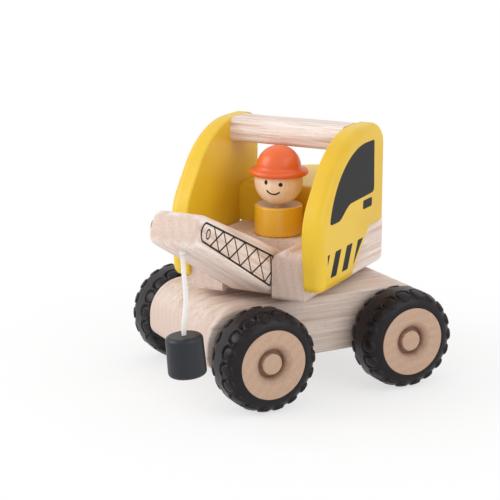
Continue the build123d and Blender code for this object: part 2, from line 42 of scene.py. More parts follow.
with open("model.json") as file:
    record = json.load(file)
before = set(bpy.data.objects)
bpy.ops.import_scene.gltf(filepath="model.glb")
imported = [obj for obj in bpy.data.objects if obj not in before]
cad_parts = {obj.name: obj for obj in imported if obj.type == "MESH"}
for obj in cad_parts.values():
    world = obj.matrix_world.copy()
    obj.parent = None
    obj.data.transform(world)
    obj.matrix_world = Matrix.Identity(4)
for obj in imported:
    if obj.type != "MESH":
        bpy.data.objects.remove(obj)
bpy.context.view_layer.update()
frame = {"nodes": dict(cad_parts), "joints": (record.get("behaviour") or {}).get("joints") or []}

MM = 0.001  # the scene is in metres


# ------------------------------------------------------------------ places from the frame
def joint(name):
    """A joint's row in the frame."""
    return next(j for j in frame["joints"] if j["name"] == name)


LIFT_AXIS = Vector(joint("boom_lift")["axis"])
SLEW = math.atan2(-LIFT_AXIS.y, -LIFT_AXIS.x)  # turn of the cab at rest
CAB = Matrix.Rotation(SLEW, 4, "Z")
BOOM_PITCH = math.radians(27.5)  # rise of the boom at rest
BOOM_PIN = Vector(joint("boom_lift")["pos_m"])
BOOM = Matrix.Translation(BOOM_PIN) @ CAB @ Matrix.Rotation(-BOOM_PITCH, 4, "X")
CORD_PIVOT = Vector(joint("load_swing")["pos_m"])
# The cord bends in one plane, which lies between the cab's left and its rear.
CORD_ASIDE = CAB.to_3x3() @ Matrix.Rotation(math.radians(27.8), 3, "Z") @ Vector((1, 0, 0))
# The cord's route below its pivot, as (aside, down) in mm, to the bottom of the weight's bore.
CORD_ROUTE = ((0.0, 0.0), (0.3, 9.5), (1.5, 22.5), (1.7, 34.0), (-0.2, 47.4), (0.73, 58.06))
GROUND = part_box("tyre_front_left")[0].z
WHEELS = ("front_left", "front_right", "rear_left", "rear_right")
HUB_RIB = 1.6 * MM  # the hub's rib, above the seat that the tyre grips
SEAM = 0.12 * MM  # line that the mould leaves round the middle of the tread


def extent(node, place):
    """Lowest and highest corner of a CAD node in a turned frame."""
    turned = [place.inverted() @ v.co for v in frame["nodes"][node].data.vertices]
    low = Vector([min(v[i] for v in turned) for i in range(3)])
    high = Vector([max(v[i] for v in turned) for i in range(3)])
    return low, high


# ------------------------------------------------------------------ material tools
def linear(hex_colour):
    """An sRGB hex colour as the linear RGBA that a shader takes."""
    parts = [int(hex_colour[i : i + 2], 16) / 255 for i in (1, 3, 5)]
    return [c / 12.92 if c <= 0.04045 else ((c + 0.055) / 1.055) ** 2.4 for c in parts] + [1]


def add(tree, kind, inputs=None, stops=(), **settings):
    """Add one node with its settings and links.

    An input is a value, a socket, or a node, whose first output in use is then linked.
    The stops of a colour ramp are pairs of a position and a linear colour.
    """
    node = tree.nodes.new(kind)
    for name, value in settings.items():
        setattr(node, name, value)
    for name, value in (inputs or {}).items():
        if isinstance(value, bpy.types.Node):
            value = next(socket for socket in value.outputs if socket.enabled)
        if isinstance(value, bpy.types.NodeSocket):
            tree.links.new(value, node.inputs[name])
        else:
            node.inputs[name].default_value = value
    if stops:
        elements = node.color_ramp.elements
        while len(elements) < len(stops):
            elements.new(0.5)
        for element, (position, colour) in zip(elements, stops):
            element.position = position
            element.color = colour
    return node


# A Mix node's sockets share their names, so they are reached by number.
SHARE, FIRST, SECOND = 0, 2, 3
FIRST_COLOUR, SECOND_COLOUR = 6, 7


def new_material(name):
    """An empty material and its node tree."""
    material = bpy.data.materials.new(name)
    material.use_nodes = True
    material.node_tree.nodes.clear()
    return material, material.node_tree


def finish_material(tree, inputs):
    """Close a material with one Principled shader."""
    shader = add(tree, "ShaderNodeBsdfPrincipled", inputs)
    add(tree, "ShaderNodeOutputMaterial", {"Surface": shader})


def grain_coords(tree, grain):
    """Object coordinates turned so that the wood's grain runs along Z."""
    source = add(tree, "ShaderNodeTexCoord").outputs["Object"]
    turn = tuple(grain.to_3x3().inverted().to_euler())
    return add(tree, "ShaderNodeMapping", {"Vector": source, "Rotation": turn})


def stretched_noise(tree, coords, across_mm, along_mm, detail=2.0, distortion=0.0, seed=0.0):
    """Noise whose spots are across_mm wide and along_mm long along the coordinates' Z."""
    scale = (1000 / across_mm, 1000 / across_mm, 1000 / along_mm)
    place = {"Vector": coords, "Location": (seed, seed, seed), "Scale": scale}
    spots = add(tree, "ShaderNodeMapping", place)
    look = {"Scale": 1.0, "Detail": detail, "Roughness": 0.55, "Distortion": distortion}
    return add(tree, "ShaderNodeTexNoise", {"Vector": spots, **look})


def seen_rays(tree):
    """1 for rays that show a surface to the eye: straight, mirrored or through glass."""
    rays = add(tree, "ShaderNodeLightPath").outputs
    seen = rays["Is Camera Ray"]
    for other in ("Is Glossy Ray", "Is Transmission Ray"):
        seen = add(tree, "ShaderNodeMath", {0: seen, 1: rays[other]}, operation="MAXIMUM")
    return seen


# ------------------------------------------------------------------ materials
UPRIGHT = Matrix.Identity(4)
GRAIN_Y = Matrix.Rotation(math.radians(90), 4, "X")
GRAIN_X = Matrix.Rotation(math.radians(90), 4, "Y")
WAVE_TURN = math.pi / 10  # length of one wave of a wave texture at scale 1

# Dark, middle and light tone of the rubberwood, by how the piece was made
SAWN_BLOCK = [linear(tone) for tone in ("#C6AD9E", "#DCC8BC", "#EADDD4")]
PLANED_BAR = [linear(tone) for tone in ("#C8A796", "#E8D6CC", "#F9F2ED")]
TURNED_WHEEL = [linear(tone) for tone in ("#B4927A", "#C9AA93", "#D6BCA7")]
DRAWN_DOWEL = [linear(tone) for tone in ("#C59F82", "#DBBCA1", "#E6CDB6")]
TURNED_BALL = [linear(tone) for tone in ("#E9C3A3", "#F4D6B8", "#FAE3CB")]
BARE_DISH = [linear(tone) for tone in ("#D9BC9F", "#E9D3BB", "#F2E2D0")]


def rubberwood(name, grain, tone, pore, seed=0.0, dish=None):
    """Sanded rubberwood under clear matte lacquer: soft streaks, fine fibres, short pores."""
    material, tree = new_material(name)
    dark, middle, light = tone
    coords = grain_coords(tree, grain)
    # growth rings cut lengthwise: bands 7 mm apart that wander over 160 mm
    streaks = stretched_noise(tree, coords, 7.0, 160.0, 3.0, 0.8, seed)
    # fibres are drawn 0.7 mm wide, coarser than the real ones, so that they show
    fibres = stretched_noise(tree, coords, 0.7, 26.0, 2.0, 0.2, seed + 3)
    # open pores: dashes 0.35 mm wide and 5 mm long
    pores = stretched_noise(tree, coords, 0.35, 5.0, 1.0, 0.0, seed + 7)
    figure = add(
        tree, "ShaderNodeMix", {SHARE: 0.42, FIRST: streaks, SECOND: fibres}, data_type="FLOAT"
    )
    plain = add(
        tree, "ShaderNodeValToRGB", {"Fac": figure}, ((0.36, dark), (0.5, middle), (0.64, light))
    )
    dashes = add(
        tree,
        "ShaderNodeMapRange",
        {"Value": pores, "From Min": 0.66, "From Max": 0.74, "To Min": 0.0, "To Max": pore},
    )
    board = add(
        tree,
        "ShaderNodeMix",
        {SHARE: dashes, FIRST_COLOUR: plain, SECOND_COLOUR: linear("#A07C64")},
        data_type="RGBA",
    )
    # end grain: growth rings 6 mm apart round a pith outside the piece, and pore dots
    pith = (0.11, 0.07, 0.0)
    around = add(tree, "ShaderNodeVectorMath", {0: coords, 1: pith}, operation="SUBTRACT")
    rings = add(
        tree,
        "ShaderNodeTexWave",
        {"Vector": around, "Scale": WAVE_TURN / (6.0 * MM), "Distortion": 1.5, "Detail": 2.0},
        wave_type="RINGS",
        rings_direction="Z",
    )
    dots = stretched_noise(tree, coords, 0.45, 0.45, 1.0, 0.0, seed + 9)
    speckle = add(
        tree,
        "ShaderNodeMix",
        {SHARE: 0.93, FIRST: rings.outputs["Fac"], SECOND: dots},
        data_type="FLOAT",
    )
    end = add(tree, "ShaderNodeValToRGB", {"Fac": speckle}, ((0.3, dark), (0.7, middle)))
    # a face that is nearly square to the grain shows end grain
    axis = tuple((grain.to_3x3() @ Vector((0, 0, 1))).normalized())
    normal = add(tree, "ShaderNodeTexCoord").outputs["Normal"]
    facing = add(tree, "ShaderNodeVectorMath", {0: normal, 1: axis}, operation="DOT_PRODUCT")
    square = add(tree, "ShaderNodeMath", {0: facing}, operation="ABSOLUTE")
    cut = add(tree, "ShaderNodeMapRange", {"Value": square, "From Min": 0.72, "From Max": 0.96})
    base = add(
        tree,
        "ShaderNodeMix",
        {SHARE: cut, FIRST_COLOUR: board, SECOND_COLOUR: end},
        data_type="RGBA",
    )
    if dish:
        # painted shade in the turned dish: the tone darkens with the dish's depth, standing in for
        # the shade in the hollow
        floor, rim = dish
        place = add(tree, "ShaderNodeTexCoord").outputs["Object"]
        out = add(tree, "ShaderNodeSeparateXYZ", {0: place}).outputs["X"]
        reach = add(tree, "ShaderNodeMath", {0: out}, operation="ABSOLUTE")
        depth = add(
            tree,
            "ShaderNodeMapRange",
            {"Value": reach, "From Min": floor, "From Max": rim, "To Min": 1.0, "To Max": 0.0},
        )
        shade = add(tree, "ShaderNodeMath", {0: depth, 1: 0.42}, operation="POWER")
        # the painted shade goes at most 0.66 of the way to a dark brown
        painted_dish_shade = add(tree, "ShaderNodeMapRange", {"Value": shade, "To Max": 0.66})
        base = add(
            tree,
            "ShaderNodeMix",
            {SHARE: painted_dish_shade, FIRST_COLOUR: base, SECOND_COLOUR: linear("#7A5540")},
            data_type="RGBA",
        )
    finish_material(
        tree,
        {
            "Base Color": base,
            "Roughness": add(
                tree, "ShaderNodeMapRange", {"Value": fibres, "To Min": 0.42, "To Max": 0.6}
            ),
            "IOR": 1.47,
            "Normal": add(
                tree, "ShaderNodeBump", {"Strength": 0.25, "Distance": 0.05 * MM, "Height": fibres}
            ),
        },
    )
    return material


def wood_lacquer(name, colour, deep, roughness, coat, grain):
    """Sprayed opaque lacquer on wood: even colour, faint grain and orange peel below gloss."""
    material, tree = new_material(name)
    coords = grain_coords(tree, grain)
    grain_marks = stretched_noise(tree, coords, 1.4, 40.0, 2.0, 0.0, 1.0)
    # orange peel of sprayed lacquer: dimples about 1.2 mm apart
    peel = stretched_noise(tree, coords, 1.2, 1.2, 1.0, 0.0, 5.0)
    clouds = stretched_noise(tree, coords, 30.0, 45.0, 1.0, 0.0, 9.0)
    height = add(
        tree, "ShaderNodeMix", {SHARE: 0.5, FIRST: grain_marks, SECOND: peel}, data_type="FLOAT"
    )
    finish_material(
        tree,
        {
            "Base Color": add(
                tree, "ShaderNodeValToRGB", {"Fac": clouds}, ((0.35, deep), (0.6, colour))
            ),
            "Roughness": add(
                tree,
                "ShaderNodeMapRange",
                {"Value": peel, "To Min": roughness - 0.04, "To Max": roughness + 0.06},
            ),
            "IOR": 1.5,
            "Coat Weight": coat,
            "Coat Roughness": 0.12,
            "Normal": add(
                tree, "ShaderNodeBump", {"Strength": 0.18, "Distance": 0.05 * MM, "Height": height}
            ),
        },
    )
    return material


def moulded_rubber(name, colour, deep):
    """Moulded black rubber: grey bloom on a fine spark-eroded texture."""
    material, tree = new_material(name)
    coords = grain_coords(tree, UPRIGHT)
    # bloom comes in clouds 9 mm across, and the mould's grit is drawn 0.5 mm wide so that it shows
    bloom = stretched_noise(tree, coords, 9.0, 9.0, 3.0, 0.3)
    grit = stretched_noise(tree, coords, 0.5, 0.5, 2.0)
    finish_material(
        tree,
        {
            "Base Color": add(
                tree, "ShaderNodeValToRGB", {"Fac": bloom}, ((0.35, deep), (0.65, colour))
            ),
            "Roughness": add(
                tree, "ShaderNodeMapRange", {"Value": grit, "To Min": 0.3, "To Max": 0.44}
            ),
            "IOR": 1.52,
            "Specular IOR Level": 0.26,
            "Sheen Weight": 0.16,
            "Sheen Roughness": 0.25,
            "Sheen Tint": linear("#DCC6CE"),
            "Normal": add(
                tree, "ShaderNodeBump", {"Strength": 0.3, "Distance": 0.04 * MM, "Height": grit}
            ),
        },
    )
    return material


def screen_ink(name, colour):
    """Matte screen-printed ink, a little uneven where it soaked in."""
    material, tree = new_material(name)
    # the ink soaks in unevenly, in spots 2.5 mm across
    soak = stretched_noise(tree, grain_coords(tree, UPRIGHT), 2.5, 2.5, 2.0)
    finish_material(
        tree,
        {
            "Base Color": add(
                tree, "ShaderNodeValToRGB", {"Fac": soak}, ((0.3, linear("#090809")), (0.7, colour))
            ),
            "Roughness": add(
                tree, "ShaderNodeMapRange", {"Value": soak, "To Min": 0.5, "To Max": 0.62}
            ),
            "IOR": 1.45,
            "Specular IOR Level": 0.35,
        },
    )
    return material


def cotton(name, colour, deep):
    """Bleached cotton braid: fuzzy white fibres with soft shade between the strands."""
    material, tree = new_material(name)
    # fibres stand in tufts 0.35 mm across
    fuzz = stretched_noise(tree, grain_coords(tree, UPRIGHT), 0.35, 0.35, 2.0)
    finish_material(
        tree,
        {
            "Base Color": add(
                tree, "ShaderNodeValToRGB", {"Fac": fuzz}, ((0.3, deep), (0.7, colour))
            ),
            "Roughness": 0.9,
            "Sheen Weight": 0.3,
            "Sheen Roughness": 0.5,
            "Normal": add(
                tree, "ShaderNodeBump", {"Strength": 0.5, "Distance": 0.08 * MM, "Height": fuzz}
            ),
        },
    )
    return material


# ------------------------------------------------------------------ mesh tools
def mesh_object(name, vertices, faces, material, body, place=Matrix.Identity(4)):
    """A mesh piece, given in a local frame, that rides on a body."""
    mesh = bpy.data.meshes.new(name)
    mesh.from_pydata([place @ Vector(v) for v in vertices], [], faces)
    mesh.validate()
    made = bpy.data.objects.new(name, mesh)
    bpy.context.scene.collection.objects.link(made)
    tool = bmesh.new()
    tool.from_mesh(mesh)
    bmesh.ops.recalc_face_normals(tool, faces=tool.faces)
    tool.to_mesh(mesh)
    tool.free()
    mesh.materials.append(material)
    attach(made, body)
    return made


def dress(node, material):
    """Give a CAD node its material."""
    slots = frame["nodes"][node].data.materials
    slots.clear()
    slots.append(material)


PRINT_THICK = 0.06 * MM  # height of the ink above its face
PRINT_SINK = 0.03 * MM  # depth of the ink's lower side under that face


def strip(first, second, count):
    """Faces between two closed rings of points, given by the number of each ring's first point."""
    ring = [(i, (i + 1) % count) for i in range(count)]
    return [[first + i, first + j, second + j, second + i] for i, j in ring]


def print_plate(vertices, faces, outline, level):
    """Add a flat closed outline (u, v) to a mesh as a thin plate around a level."""
    start = len(vertices)
    count = len(outline)
    for height in (level - PRINT_SINK, level + PRINT_THICK):
        vertices.extend((height, u, v) for u, v in outline)
    faces.append(list(range(start, start + count)))
    faces.append(list(range(start + 2 * count - 1, start + count - 1, -1)))
    faces += strip(start, start + count, count)


def print_pair(name, outlines, level, ink, body, place):
    """Print outlines on a piece's left side and, mirrored, on its right side."""
    vertices, faces = [], []
    for outline in outlines:
        print_plate(vertices, faces, outline, level)
    for mirror, side in ((1, "left"), (-1, "right")):
        plates = [(mirror * x, y, z) for x, y, z in vertices]
        mesh_object(f"{name}_{side}", plates, faces, ink, body, place)


def rounded(points, radius, steps=5):
    """An outline with each corner replaced by a short arc of about this radius."""
    made = []
    for i, point in enumerate(points):
        corner = Vector(point)
        before, after = Vector(points[i - 1]), Vector(points[(i + 1) % len(points)])
        to_before, to_after = before - corner, after - corner
        cut = min(radius, 0.45 * to_before.length, 0.45 * to_after.length)
        start = corner + to_before.normalized() * cut
        end = corner + to_after.normalized() * cut
        for k in range(steps + 1):
            t = k / steps
            made.append(tuple((1 - t) ** 2 * start + 2 * t * (1 - t) * corner + t * t * end))
    return made


def clipped(outline, point, normal):
    """The part of a convex outline on the side of a line that the normal points to."""
    kept = []
    for i, current in enumerate(outline):
        ahead = outline[(i + 1) % len(outline)]
        a = (Vector(current) - Vector(point)).dot(Vector(normal))
        b = (Vector(ahead) - Vector(point)).dot(Vector(normal))
        if a >= 0:
            kept.append(current)
        if a * b < 0:
            kept.append(tuple(Vector(current).lerp(Vector(ahead), a / (a - b))))
    return kept


def bezier(*corners, steps=12):
    """Points along a Bezier curve, both of its ends included."""
    made = []
    for k in range(steps + 1):
        level = [Vector(corner) for corner in corners]
        while len(level) > 1:
            level = [a.lerp(b, k / steps) for a, b in zip(level, level[1:])]
        made.append(tuple(level[0]))
    return made


def stroke(start, end, width):
    """A straight printed line as a four-cornered outline."""
    a, b = Vector(start), Vector(end)
    side = (b - a).normalized().orthogonal() * width / 2
    return [tuple(a + side), tuple(b + side), tuple(b - side), tuple(a - side)]


def strokes(points, width):
    """A printed line through points, as overlapping four-cornered outlines."""
    overlap = 0.15
    made = []
    for a, b in zip(points, points[1:]):
        reach = (Vector(b) - Vector(a)).normalized() * width * overlap
        made.append(stroke(Vector(a) - reach, Vector(b) + reach, width))
    return made


def ring_arc(centre, radii, start_deg, end_deg, width, steps):
    """A printed line along an ellipse's arc, as a list of four-cornered outlines."""
    made = []
    for k in range(steps):
        corners = []
        for share, edge in ((k, 0.5), (k + 1, 0.5), (k + 1, -0.5), (k, -0.5)):
            angle = math.radians(start_deg + (end_deg - start_deg) * share / steps)
            corners.append(
                (
                    centre[0] + (radii[0] + edge * width) * math.cos(angle),
                    centre[1] + (radii[1] + edge * width) * math.sin(angle),
                )
            )
        made.append(corners)
    return made


# ------------------------------------------------------------------ the pieces
# a colour's setting holds linear red, green, blue and alpha
COLOUR = {"size": 4, "min": 0, "max": 1, "subtype": "COLOR"}


class WoodSettings(bpy.types.PropertyGroup):
    """Finishes of the wooden pieces."""

    dark: bpy.props.FloatVectorProperty(
        name="Dark tone",
        description="Streaks in the wood of the deck and the boom",
        default=linear("#C9AD9D"),
        **COLOUR,
    )
    middle: bpy.props.FloatVectorProperty(
        name="Middle tone",
        description="Most of the wood of the deck and the boom",
        default=linear("#E5D0C4"),
        **COLOUR,
    )
    light: bpy.props.FloatVectorProperty(
        name="Light tone",
        description="Pale bands in the wood of the deck and the boom",
        default=linear("#F5E9E2"),
        **COLOUR,
    )
    pore_depth: bpy.props.FloatProperty(
        name="Pore depth", description="How dark the open pores are", default=0.5, min=0, max=1
    )


class LacquerSettings(bpy.types.PropertyGroup):
    """Colours of the lacquered pieces, each with the deeper tone of its clouds."""

    yellow: bpy.props.FloatVectorProperty(
        name="Yellow",
        description="Lacquer of the panels and the engine block",
        default=linear("#E8BF27"),
        **COLOUR,
    )
    yellow_deep: bpy.props.FloatVectorProperty(
        name="Deep yellow",
        description="Clouds in the yellow lacquer",
        default=linear("#E2B61F"),
        **COLOUR,
    )
    body: bpy.props.FloatVectorProperty(
        name="Body yellow",
        description="Lacquer of the driver's body",
        default=linear("#EDB52E"),
        **COLOUR,
    )
    body_deep: bpy.props.FloatVectorProperty(
        name="Deep body yellow",
        description="Clouds in the body's lacquer",
        default=linear("#E6AC28"),
        **COLOUR,
    )
    orange: bpy.props.FloatVectorProperty(
        name="Orange",
        description="Lacquer of the driver's helmet",
        default=linear("#E9682C"),
        **COLOUR,
    )
    orange_deep: bpy.props.FloatVectorProperty(
        name="Deep orange",
        description="Clouds in the helmet's lacquer",
        default=linear("#E25F24"),
        **COLOUR,
    )
    slate: bpy.props.FloatVectorProperty(
        name="Slate", description="Lacquer of the weight", default=linear("#0B1622"), **COLOUR
    )
    slate_deep: bpy.props.FloatVectorProperty(
        name="Deep slate",
        description="Clouds in the weight's lacquer",
        default=linear("#080F18"),
        **COLOUR,
    )


class PrintSettings(bpy.types.PropertyGroup):
    """Sizes and colours of the printed marks."""

    line_width: bpy.props.FloatProperty(
        name="Line width",
        description="Width of the lattice's main lines",
        default=1.2 * MM,
        unit="LENGTH",
    )
    fine_line_width: bpy.props.FloatProperty(
        name="Fine line width",
        description="Width of the lattice's thin diagonals",
        default=1.05 * MM,
        unit="LENGTH",
    )
    stripe_width: bpy.props.FloatProperty(
        name="Stripe width",
        description="Width of a hazard stripe along the panel",
        default=8.7 * MM,
        unit="LENGTH",
    )
    window_ink: bpy.props.FloatVectorProperty(
        name="Window ink",
        description="Ink of the marks on the panels",
        default=linear("#121113"),
        **COLOUR,
    )
    lattice_ink: bpy.props.FloatVectorProperty(
        name="Lattice ink",
        description="Ink of the lines on the boom",
        default=linear("#221B19"),
        **COLOUR,
    )
    face_ink: bpy.props.FloatVectorProperty(
        name="Face ink",
        description="Ink of the eyes and the smile",
        default=linear("#33241C"),
        **COLOUR,
    )


class TyreSettings(bpy.types.PropertyGroup):
    """Sizes and colours of the moulded tyres."""

    rubber: bpy.props.FloatVectorProperty(
        name="Rubber",
        description="Rubber where its bloom shows",
        default=linear("#181015"),
        **COLOUR,
    )
    rubber_deep: bpy.props.FloatVectorProperty(
        name="Deep rubber",
        description="Rubber between the bloom",
        default=linear("#110A0D"),
        **COLOUR,
    )
    shoulder: bpy.props.FloatProperty(
        name="Shoulder",
        description="Rounding of the tread into the face",
        default=10.2 * MM,
        unit="LENGTH",
    )
    knob_count: bpy.props.IntProperty(
        name="Knobs", description="Round knobs in each shoulder row", default=18, min=6
    )
    knob_radius: bpy.props.FloatProperty(
        name="Knob radius", description="Radius of each round knob", default=4.1 * MM, unit="LENGTH"
    )
    knob_inset: bpy.props.FloatProperty(
        name="Knob inset",
        description="From the tyre's face to the middle of a knob's top",
        default=4.1 * MM,
        unit="LENGTH",
    )
    knob_sink: bpy.props.FloatProperty(
        name="Knob sink",
        description="From the tread in to the middle of a knob's top",
        default=0.9 * MM,
        unit="LENGTH",
    )
    knob_lean: bpy.props.FloatProperty(
        name="Knob lean",
        description="Turn of a knob from the spoke's direction towards the tyre's face",
        default=math.radians(22),
        subtype="ANGLE",
    )
    knob_edge: bpy.props.FloatProperty(
        name="Knob edge", description="Rounding of a knob's rim", default=1.0 * MM, unit="LENGTH"
    )
    knob_dome: bpy.props.FloatProperty(
        name="Knob dome", description="Rise of a knob's top", default=0.5 * MM, unit="LENGTH"
    )
    pocket_gap: bpy.props.FloatProperty(
        name="Pocket gap",
        description="Width of the hollow beside a knob, at its widest",
        default=1.9 * MM,
        unit="LENGTH",
    )
    pocket_depth: bpy.props.FloatProperty(
        name="Pocket depth",
        description="From a knob's top to the hollow's floor",
        default=2.8 * MM,
        unit="LENGTH",
    )
    shift: bpy.props.FloatProperty(
        name="Shift",
        description="How far the tyre is pressed on past its seat, towards the chassis",
        default=1.6 * MM,
        unit="LENGTH",
    )


class CordSettings(bpy.types.PropertyGroup):
    """Sizes and colours of the braided cord."""

    cotton: bpy.props.FloatVectorProperty(
        name="Cotton",
        description="Bleached fibres of the cord",
        default=linear("#FAF7F3"),
        **COLOUR,
    )
    cotton_deep: bpy.props.FloatVectorProperty(
        name="Deep cotton",
        description="Shade between the fibres",
        default=linear("#DDD9D4"),
        **COLOUR,
    )
    length: bpy.props.FloatProperty(
        name="Length",
        description="From the knot to the bottom of the weight's bore",
        default=56.0 * MM,
        unit="LENGTH",
    )
    diameter: bpy.props.FloatProperty(
        name="Diameter", description="Across the braid", default=3.0 * MM, unit="LENGTH"
    )
    strands: bpy.props.IntProperty(
        name="Strands", description="Strands in the braid", default=8, min=4
    )
    lay_length: bpy.props.FloatProperty(
        name="Lay length",
        description="Between two crossings of the same strands",
        default=3.2 * MM,
        unit="LENGTH",
    )


class DriverSettings(bpy.types.PropertyGroup):
    """Sizes of the driver's dished body."""

    dish_radius: bpy.props.FloatProperty(
        name="Dish radius",
        description="Radius of the hollow that the head sits in",
        default=14.2 * MM,
        unit="LENGTH",
    )
    dish_depth: bpy.props.FloatProperty(
        name="Dish depth", description="Depth of that hollow", default=2.2 * MM, unit="LENGTH"
    )


class OBJECT_OT_wooden_pieces(bpy.types.Operator):
    """Gives the natural wooden pieces their grain"""

    bl_idname = "object.toy_wooden_pieces"
    bl_label = "Wooden pieces"

    def execute(self, context):
        wood = context.scene.toy_wood
        pore = wood.pore_depth
        planed = (wood.dark, wood.middle, wood.light)
        dress("chassis_block", rubberwood("rubberwood_chassis", GRAIN_Y, SAWN_BLOCK, pore))
        dress("deck_block", rubberwood("rubberwood_deck", CAB @ GRAIN_Y, planed, pore, 11))
        along_boom = BOOM.to_3x3().to_4x4() @ GRAIN_Y
        dress("boom", rubberwood("rubberwood_boom", along_boom, planed, pore, 23))
        dress("roof_bar", rubberwood("rubberwood_roof_bar", CAB @ GRAIN_X, PLANED_BAR, pore, 31))
        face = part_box("hub_front_left")[1].x
        # the dish's floor lies 4.5 mm behind the hub's face, and its rim just under that face
        dish = (face - 4.5 * MM, face - 0.04 * MM)
        # the hub's dish gets painted shade, darker towards its floor
        hub = rubberwood("rubberwood_hub", GRAIN_X, TURNED_WHEEL, 0.1 * pore, 5, dish)
        peg = rubberwood("rubberwood_turned", GRAIN_X, TURNED_WHEEL, 0.25 * pore, 5)
        for wheel in WHEELS:
            dress(f"hub_{wheel}", hub)
            dress(f"wheel_peg_{wheel}", peg)
        standing = rubberwood("rubberwood_upright", UPRIGHT, DRAWN_DOWEL, 0.25 * pore, 8)
        for node in ("turntable_disc", "king_peg", "engine_dowels", "driver_dowel", "neck_dowel"):
            dress(node, standing)
        across = rubberwood("rubberwood_dowel", CAB @ GRAIN_X, DRAWN_DOWEL, 0.1)
        for node in ("boom_pin", "panel_dowels", "roof_dowels"):
            dress(node, across)
        return {"FINISHED"}


class OBJECT_OT_yellow_pieces(bpy.types.Operator):
    """Lacquers the panels and the engine block yellow"""

    bl_idname = "object.toy_yellow_pieces"
    bl_label = "Yellow pieces"

    def execute(self, context):
        paint = context.scene.toy_lacquer
        yellow = wood_lacquer(
            "yellow_lacquer", paint.yellow, paint.yellow_deep, 0.42, 0.08, CAB @ GRAIN_Y
        )
        for node in ("side_panel_left", "side_panel_right", "engine_block"):
            dress(node, yellow)
        return {"FINISHED"}


class OBJECT_OT_panel_prints(bpy.types.Operator):
    """Prints the window, door handle and hazard stripes on both panels"""

    bl_idname = "object.toy_panel_prints"
    bl_label = "Panel prints"

    def execute(self, context):
        high = extent("side_panel_left", CAB)[1]

        def at(ahead, down):
            """A point in mm ahead of the panel's rear edge and below its top."""
            return high.y - ahead * MM, high.z - down * MM

        ink = screen_ink("window_ink", context.scene.toy_prints.window_ink)
        handle = [at(22.2, 47.7), at(36.6, 47.7), at(36.6, 53.6), at(22.2, 53.6)]
        outlines = [self.window(at), rounded(handle, 1.6 * MM)] + self.stripes(context, at)
        print_pair("panel_print", outlines, high.x, ink, "upper_works", CAB)
        return {"FINISHED"}

    @staticmethod
    def window(at):
        """Cab window: straight rear post, a stepped sill and one long curve along the brow."""
        brow = bezier(at(32.3, 9.8), at(59.5, 9.8), at(81.3, 28.3), at(86.9, 51.1), steps=28)
        nose = bezier(brow[-1], at(87.6, 53.9), at(83.5, 53.9), steps=5)
        sill = bezier(at(74.9, 53.9), at(68.7, 53.9), at(62.2, 45.6), at(54.7, 45.6))
        heel = bezier(at(22.6, 44.8), at(18.9, 44.7), at(18.9, 41.5), steps=5)
        crown = bezier(at(19.8, 11.6), at(19.9, 9.9), at(21.6, 9.8), steps=4)
        return brow + nose + sill + heel + crown

    @staticmethod
    def stripes(context, at):
        """Slanted bars, cut parallel to the panel's front and to its heel."""
        width = context.scene.toy_prints.stripe_width / MM
        # in mm, below the panel's top and ahead of its rear edge
        top, bottom, slant, pitch = 72.3, 88.0, 7.4, 17.2
        first, nose, heel, count = 95.5, 90.0, 51.4, 4
        made = []
        for k in range(count):
            front = first - k * pitch
            bar = [
                at(front + slant, bottom),
                at(front - width + slant, bottom),
                at(front - width, top),
                at(front, top),
            ]
            bar = clipped(bar, at(nose, top), (1, 0))
            bar = clipped(bar, at(heel, bottom), (-1, 1))
            made.append(rounded(bar, 0.6 * MM, 2))
        return made


class OBJECT_OT_boom_prints(bpy.types.Operator):
    """Prints the lattice on both sides of the boom"""

    bl_idname = "object.toy_boom_prints"
    bl_label = "Boom lattice"

    def execute(self, context):
        settings = context.scene.toy_prints
        face = extent("boom", BOOM)[1].x
        ink = screen_ink("lattice_ink", settings.lattice_ink)
        bold, fine = settings.line_width, settings.fine_line_width

        def upper(reach):
            """The lattice's upper line, at a reach in mm ahead of the pin."""
            return -reach * MM, (7.7 - 0.043 * reach) * MM

        def lower(reach):
            """The lattice's lower line, at the same reach."""
            return -reach * MM, (-11.2 + 0.031 * reach) * MM

        # where the lines end towards the tip, and where they turn into the heel's curve
        tip, heel_top, heel_foot = 104.2, 11.0, 6.3
        outlines = [
            stroke(upper(tip), upper(heel_top), bold),
            stroke(lower(tip), lower(heel_foot), bold),
        ]
        bend = (-7.0 * MM, 3.0 * MM), (-7.2 * MM, -5.0 * MM)
        outlines += strokes(bezier(upper(heel_top), *bend, lower(heel_foot), steps=8), bold)
        # a round end, and a ring for the eye in it
        middle = (upper(tip)[1] + lower(tip)[1]) / 2
        half = (upper(tip)[1] - lower(tip)[1]) / 2
        outlines += ring_arc((-tip * MM, middle), (4.4 * MM, half), 90, 270, bold, 20)
        outlines += ring_arc((-100.2 * MM, middle), (2.1 * MM, 2.8 * MM), 0, 360, 0.85 * bold, 24)
        # the bays grow towards the pin; their corners' reaches ahead of the pin, in mm
        bays = (95.0, 82.5, 67.9, 52.3, 35.2, 15.0)
        for outer, inner in zip(bays, bays[1:]):
            outlines.append(stroke(lower(outer), upper(inner), bold))
            outlines.append(stroke(upper(outer), lower(inner), fine))
        # the last bay ends on the curve round the heel
        outlines.append(stroke(lower(bays[-1]), (-7.3 * MM, -1.0 * MM), bold))
        outlines.append(stroke(upper(bays[-1]), (-7.4 * MM, -4.5 * MM), fine))
        print_pair("boom_print", outlines, face, ink, "boom_arm", BOOM)
        return {"FINISHED"}


